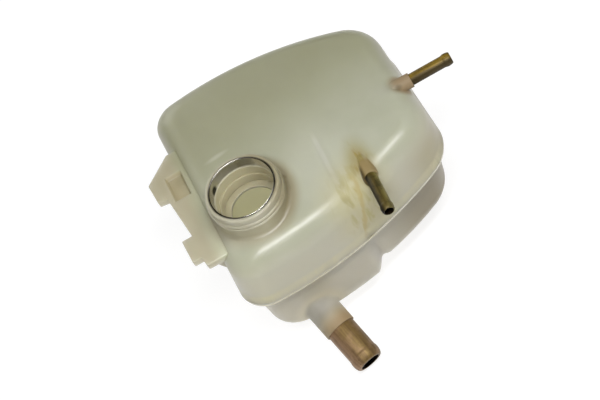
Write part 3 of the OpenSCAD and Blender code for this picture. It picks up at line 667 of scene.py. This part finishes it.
# Outlet boss: a turned body along the outlet's way, with a fillet at its root and a bore into the pan
OUTLET_FOOT = (4.0, -39.54, -109.0)
OUTLET_DIP, OUTLET_TURN = radians(22.8), radians(13.8)
OUTLET_WAY = (sin(OUTLET_TURN) * cos(OUTLET_DIP), -cos(OUTLET_TURN) * cos(OUTLET_DIP), -sin(OUTLET_DIP))
OUTLET_R, BOSS_R, BOSS_LEN, BOSS_ROOT, BOSS_EDGE, BOSS_FILLET = 10.0, 10.95, 15.5, 12.0, 0.4, 2.2
outlet_way = along(OUTLET_FOOT, OUTLET_WAY)
boss_end = arc((BOSS_R - BOSS_EDGE, BOSS_LEN - BOSS_EDGE), BOSS_EDGE, 0, 90)
boss = turned("boss", [(0, -BOSS_ROOT), (BOSS_R, -BOSS_ROOT), (BOSS_R, BOSS_LEN - 3)] + boss_end
              + [(0, BOSS_LEN)], outlet_way)
hole = turned("hole", [(0, -BOSS_ROOT - 2), (OUTLET_R + FIT, -BOSS_ROOT - 2),
                       (OUTLET_R + FIT, BOSS_LEN + 2), (0, BOSS_LEN + 2)], outlet_way)


def wall_along_boss(r, count=96):
    """Where the pan's wall lies along the boss's axis, on a ring of radius r round it: one ray for each
    angle, cast back at the wall from 60 mm outside."""
    wall = BVHTree.FromObject(lower, bpy.context.evaluated_depsgraph_get())
    a = np.arange(count) * 2 * pi / count
    starts = outlet_way(np.stack([r * np.cos(a), r * np.sin(a), np.full(count, 60.0)], -1)) * MM
    return np.array([60 - wall.ray_cast(Vector(start), -Vector(OUTLET_WAY))[3] / MM for start in starts])


boss_fillet = closed_grid("boss_fillet", outlet_way(fillet_ring(
    BOSS_R, BOSS_FILLET, wall_along_boss(BOSS_R), wall_along_boss(BOSS_R + BOSS_FILLET), 10, 0.05, 2)))
weld(lower, [boss, boss_fillet], "UNION")
weld(lower, [hole], "DIFFERENCE")
smooth(lower, 32)

plastic_low, tree, place, colour = milky_plastic("aged_milky_polypropylene_pan", "#bfb7a2", "#b4ac96",
                                                 "#bfb7a0", "#a19b80")
x, y, z = axes(tree, place)

# The right end lies in shade, light comes out under the rim and round the boss, the boss is painted darker
# as shade, and the outlet pipe shows through the boss's end
right_end = past(tree, x, 50, 95)
colour = paint(tree, colour, "#7c7050", right_end, 0.9)
colour = paint(tree, colour, "#dad2ba", past(tree, z, -86, -68),
               maths(tree, "SUBTRACT", 0.8, times(tree, right_end, 0.7)))
colour = paint(tree, colour, "#ded2b2", near(tree, place, OUTLET_FOOT, 12, 24), 0.8)
boss_mid = tuple(f + 9 * w for f, w in zip(OUTLET_FOOT, OUTLET_WAY))
# Painted shade on the boss, whose top faces the light
colour = paint(tree, colour, "#aca084", near(tree, place, boss_mid, 11, 15), 0.5)
boss_mouth = tuple(f + 19 * w + d for f, w, d in zip(OUTLET_FOOT, OUTLET_WAY, (2, 0, 2.5)))
through = near(tree, place, boss_mouth, 9, 20)
colour = paint(tree, colour, "#8c7450", through, 0.9)

# The floor inside, seen through the neck, is painted lighter where it faces up, as painted light, and the
# weld's rim is painted darker, as painted shade
facing = axes(tree, node(tree, "ShaderNodeTexCoord").outputs["Normal"])
colour = paint(tree, colour, "#d8d09c", ramp(tree, facing["Z"], 0.2, 0.7), past(tree, y, -35, -20),
               short_of(tree, z, -100, -90))
# Painted shade on the weld's rim
colour = paint(tree, colour, "#988f68", between(tree, z, -68.6, -65, 0.3))
finish_plastic(tree, place, colour, through, near(tree, place, boss_mid, 16, 24))
lower.data.materials.append(plastic_low)
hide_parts("lower_shell")
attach(lower, "root")


# ---------------------------------------------------------------------------
# Neck ring
# A drawn stainless sleeve set into the mouth, for a seal to run on. Bright, with a fine rounded edge
# and faint rings left by the tool, drawn 0.4 mm apart, coarser than real ones, so that they show.
# ---------------------------------------------------------------------------
ring = turned("neck_ring_sleeve",
              [(RING_R, -RING_LEN + 0.2), (RING_R + 0.2, -RING_LEN), (RING_R + RING_WALL, -RING_LEN),
               *arc((RING_R + RING_WALL / 2, -RING_WALL / 2), RING_WALL / 2, 0, 180, 13)], count=256)
smooth(ring, 40)
steel, tree, place = bare_material("drawn_stainless_steel")
x, y, z = axes(tree, place)
stretch = node(tree, "ShaderNodeMapping", {"Vector": place}, Scale=(60, 60, 2600))
lines = node(tree, "ShaderNodeTexNoise", {"Vector": stretch.outputs[0]}, Scale=1.0, Detail=2.0)
bump = node(tree, "ShaderNodeBump", {"Height": lines.outputs["Fac"]}, Strength=0.15, Distance=0.0002)
rough = stretched(tree, lines.outputs["Fac"], 0.14, 0.30)
tone = mix(tree, lines.outputs["Fac"], "#c4c1b8", "#dddbd5")

# A dark spot on the left of the inside, painted shade on the lip's left and right, and painted shade on
# the left side
tone = paint(tree, tone, "#14150c", near(tree, place, (-17.1, 13.5, -7.2), 1.9, 4.4))
# Painted shade on the lip's left and right
shaded_lip_sides = past(tree, maths(tree, "ABSOLUTE", x, 0.0), 16.8, 20.5)
tone = paint(tree, tone, "#20201b", shaded_lip_sides, between(tree, z, -1.2, 1, 0.4), 0.85)
# Painted shade on the left side of the ring
tone = paint(tree, tone, "#5a5b4c", short_of(tree, x, -21.2, -17.2), 0.55)
shader = node(tree, "ShaderNodeBsdfPrincipled",
              {"Base Color": tone, "Normal": bump.outputs["Normal"], "Roughness": rough}, Metallic=1.0)
node(tree, "ShaderNodeOutputMaterial", {"Surface": shader.outputs[0]})
ring.data.materials.append(steel)
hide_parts("neck_ring")
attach(ring, "root")


# ---------------------------------------------------------------------------
# Outlet pipe and bleed pipes
# Drawn brass tubes, moulded into the plastic. Each has a rolled bead that keeps the hose on and a
# tapered nose. Years of heat and coolant have left them brown and dull, and their tone across each tube is
# painted light and shade.
# ---------------------------------------------------------------------------
def hose_tube(name, r, bore, bead_r, bead_len, start, end, place):
    """A tube from start to end along its axis. Its bead rises by a smooth step over 5.4 times its own
    height, and the nose is a quarter of an ellipse, three quarters of the bead's length long, that narrows
    to the lip."""
    bead = end - bead_len
    swell = bead_r - r
    shape = [(bore, start + 0.2), (bore + 0.2, start), (r - 0.2, start), (r, start + 0.2)]
    t = np.linspace(0, 1, 9)
    shape += [(r + swell * k * k * (3 - 2 * k), bead + swell * (5.4 * k - 3)) for k in t]
    nose = end - bead_len * 0.75
    lip = bore + (r - bore) * 0.45
    shape += [(lip + (bead_r - lip) * cos(a), nose + (end - nose) * sin(a)) for a in t * pi / 2]
    shape += [(bore + 0.3, end), (bore, end - 0.3)]
    piece = turned(name, shape, place, 96)
    smooth(piece, 50)
    return piece


OUTLET_BORE, OUTLET_BEAD_R, OUTLET_BEAD_LEN, OUTLET_IN, OUTLET_OUT = 7.0, 10.4, 7.0, 24.0, 29.5
BLEED_BORE, BLEED_BEAD_R, BLEED_BEAD_LEN, SIDE_OUT, FRONT_OUT = 3.0, 4.5, 5.0, 29.5, 31.0
outlet = hose_tube("outlet_pipe_tube", OUTLET_R, OUTLET_BORE, OUTLET_BEAD_R, OUTLET_BEAD_LEN,
                   BOSS_LEN - OUTLET_IN, BOSS_LEN + OUTLET_OUT, outlet_way)
side_pipe = hose_tube("side_bleed_tube", BLEED_R, BLEED_BORE, BLEED_BEAD_R, BLEED_BEAD_LEN, 0.0,
                      BLEED_ROOT + SIDE_COLLAR + SIDE_OUT, side_way)
front_pipe = hose_tube("front_bleed_tube", BLEED_R, BLEED_BORE, BLEED_BEAD_R, BLEED_BEAD_LEN, 0.0,
                       BLEED_ROOT + FRONT_COLLAR + FRONT_OUT, front_way)


def tarnished_brass(name, start, way, r, bore, shading_and_film_tones):
    """Drawn brass under a brown film of oxide. With u along the tube and v across it, the streaks are
    noise on (0.1 u, v, w), 2 mm wide and 20 mm long, painted light and shade run from flank to crest to
    flank with v / r, and the bore is black and without gloss. Specks of 1 mm and patches of 7 mm break the
    film up."""
    material, tree, place = bare_material(name)
    shift = offset(tree, place, start)
    side = np.cross(way, (0, 0, 1)) / np.linalg.norm(way[:2])
    parts = []
    for axis in (way, side, np.cross(side, way)):
        dot = node(tree, "ShaderNodeVectorMath", {0: shift}, operation="DOT_PRODUCT")
        dot.inputs[1].default_value = axis
        parts.append(dot.outputs["Value"])
    u, v, w = parts
    drawn = node(tree, "ShaderNodeCombineXYZ", {"X": times(tree, u, 0.1), "Y": v, "Z": w})
    film = node(tree, "ShaderNodeTexNoise", {"Vector": drawn.outputs[0]}, Scale=520.0, Detail=3.0)
    specks = node(tree, "ShaderNodeTexNoise", {"Vector": place}, Scale=900.0, Detail=3.0)
    patches = node(tree, "ShaderNodeTexNoise", {"Vector": place}, Scale=150.0, Detail=2.0)
    # Painted light and shade across the tube: one tone on each flank and one on the crest
    left, crest_shading, right, dark = shading_and_film_tones
    colour = mix(tree, past(tree, v, -r, -0.1 * r), right, crest_shading)
    colour = paint(tree, colour, left, past(tree, v, 0.1 * r, 0.85 * r))
    colour = paint(tree, colour, dark, ramp(tree, film.outputs["Fac"], 0.42, 0.66), 0.55)
    colour = paint(tree, colour, dark, ramp(tree, specks.outputs["Fac"], 0.56, 0.72), 0.5)
    colour = paint(tree, colour, left, ramp(tree, patches.outputs["Fac"], 0.45, 0.65), 0.35)
    flat = node(tree, "ShaderNodeCombineXYZ", {"Y": v, "Z": w})
    open_air = past(tree, span(tree, flat.outputs[0], (1, 1, 1)), bore + 0.05, bore + 0.4)
    colour = mix(tree, open_air, "#120d08", colour)
    rough = stretched(tree, film.outputs["Fac"], 0.42, 0.62)
    bump = node(tree, "ShaderNodeBump", {"Height": film.outputs["Fac"]}, Strength=0.25, Distance=0.0001)
    shader = node(tree, "ShaderNodeBsdfPrincipled",
                  {"Base Color": colour, "Normal": bump.outputs["Normal"], "Roughness": rough,
                   "Specular IOR Level": times(tree, open_air, 0.5)}, Metallic=0.45)
    node(tree, "ShaderNodeOutputMaterial", {"Surface": shader.outputs[0]})
    return material


# The first three tones of each tube are painted light and shade: left flank, crest, right flank
for piece, name, brass in (
        (outlet, "outlet_pipe", tarnished_brass(
            "tarnished_brass_outlet", OUTLET_FOOT, OUTLET_WAY, OUTLET_R, OUTLET_BORE,
            ("#987a5c", "#7c6537", "#725b38", "#5a4228"))),
        (side_pipe, "bleed_pipe_side", tarnished_brass(
            "tarnished_brass_side", (0, SIDE_Y, SIDE_Z), (1, 0, 0), BLEED_R, BLEED_BORE,
            ("#43371a", "#8a7020", "#4e3d14", "#352a10"))),
        (front_pipe, "bleed_pipe_front", tarnished_brass(
            "tarnished_brass_front", (FRONT_X, 0, FRONT_Z), (0, -1, 0), BLEED_R, BLEED_BORE,
            ("#171206", "#5c4f20", "#8e8248", "#332b14")))):
    piece.data.materials.append(brass)
    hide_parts(name)
    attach(piece, "root")


# ---------------------------------------------------------------------------
# Floor, light and camera
# A bright white table, a white room that is dimmer on the right, one long softbox overhead and a little to
# the front, a weak fill from behind, and a long lens that looks down at 53 degrees with the picture rolled,
# as the photograph was taken.
# ---------------------------------------------------------------------------
FLOOR_Z, FLOOR_HALF = -134.6, 3000
floor = solid("floor", [(x * FLOOR_HALF, y * FLOOR_HALF, FLOOR_Z) for x, y in (
    (-1, -1), (1, -1), (1, 1), (-1, 1))], [[0, 1, 2, 3]])
paper = bpy.data.materials.new("white_table")
paper.use_nodes = True
paper_shader = paper.node_tree.nodes["Principled BSDF"]
paper_shader.inputs["Base Color"].default_value = linear("#808080")
paper_shader.inputs["Roughness"].default_value = 0.9
paper_shader.inputs["Emission Color"].default_value = (1, 1, 1, 1)
paper_shader.inputs["Emission Strength"].default_value = 0.85
floor.data.materials.append(paper)

world = bpy.data.worlds.new("white_room")
world.use_nodes = True
sky = world.node_tree
toward = node(sky, "ShaderNodeVectorMath", {0: node(sky, "ShaderNodeTexCoord").outputs["Generated"]},
              operation="DOT_PRODUCT")
toward.inputs[1].default_value = (0.92, -0.38, 0.1)
dim = node(sky, "ShaderNodeMapRange", {"Value": toward.outputs["Value"]}, interpolation_type="SMOOTHSTEP")
for socket, value in (("From Min", 0.55), ("From Max", 0.9), ("To Min", 0.0278), ("To Max", 0.0041)):
    dim.inputs[socket].default_value = value
backdrop = times(sky, node(sky, "ShaderNodeLightPath").outputs["Is Camera Ray"], 0.9)
background = sky.nodes["Background"]
background.inputs["Color"].default_value = (1, 1, 1, 1)
sky.links.new(maths(sky, "MAXIMUM", dim.outputs["Result"], backdrop), background.inputs["Strength"])
bpy.context.scene.world = world


TANK_MIDDLE = Vector((0.045, 0.03, -0.05))


def softbox(name, at, size, power):
    """A rectangular area light at a point in millimetres that faces the tank."""
    light = bpy.data.lights.new(name, "AREA")
    light.shape = "RECTANGLE"
    light.size, light.size_y = size
    light.energy = power
    lamp = bpy.data.objects.new(name, light)
    bpy.context.scene.collection.objects.link(lamp)
    spot = Vector(at) * MM
    facing = (spot - TANK_MIDDLE).to_track_quat("Z", "Y")
    lamp.matrix_world = Matrix.Translation(spot) @ facing.to_matrix().to_4x4()


softbox("overhead", (160, -410, 950), (1.0, 0.2), 16.2)
softbox("back_fill", (-500, 1100, 350), (0.8, 0.6), 3.5)

ROLL, LOOK_DOWN, LOOK_ASIDE = radians(56.1), radians(53.3), radians(5.6)
sideways = np.array([cos(LOOK_ASIDE), sin(LOOK_ASIDE), 0])
ahead = np.array([sin(LOOK_ASIDE), -cos(LOOK_ASIDE), 0])
upright = np.array([0, 0, 1])
down_page = ahead * sin(LOOK_DOWN) - upright * cos(LOOK_DOWN)
into = -(ahead * cos(LOOK_DOWN) + upright * sin(LOOK_DOWN))
right = sideways * sin(ROLL) + down_page * cos(ROLL)
down = -sideways * cos(ROLL) + down_page * sin(ROLL)
DISTANCE, MM_PER_PIXEL, SENSOR = 3000.0, 0.65, 36.0
PICTURE_W, PICTURE_H = 600, 400
LOOK_POINT, LOOK_PIXEL = np.array([42, 30, -50]), (307.3, 161.2)
target = (LOOK_POINT + (PICTURE_W / 2 - LOOK_PIXEL[0]) * MM_PER_PIXEL * right
          + (PICTURE_H / 2 - LOOK_PIXEL[1]) * MM_PER_PIXEL * down)
lens = bpy.data.cameras.new("photo_camera")
lens.sensor_width = SENSOR
lens.lens = SENSOR * DISTANCE / (PICTURE_W * MM_PER_PIXEL)
lens.clip_end = 50.0
camera = bpy.data.objects.new("photo_camera", lens)
bpy.context.scene.collection.objects.link(camera)
stand = np.eye(4)
stand[:3, 0], stand[:3, 1], stand[:3, 2] = right, -down, -into
stand[:3, 3] = (target - DISTANCE * into) * MM
camera.matrix_world = Matrix(stand.tolist())
bpy.context.scene.camera = camera
bpy.context.scene.view_settings.view_transform = "Standard"
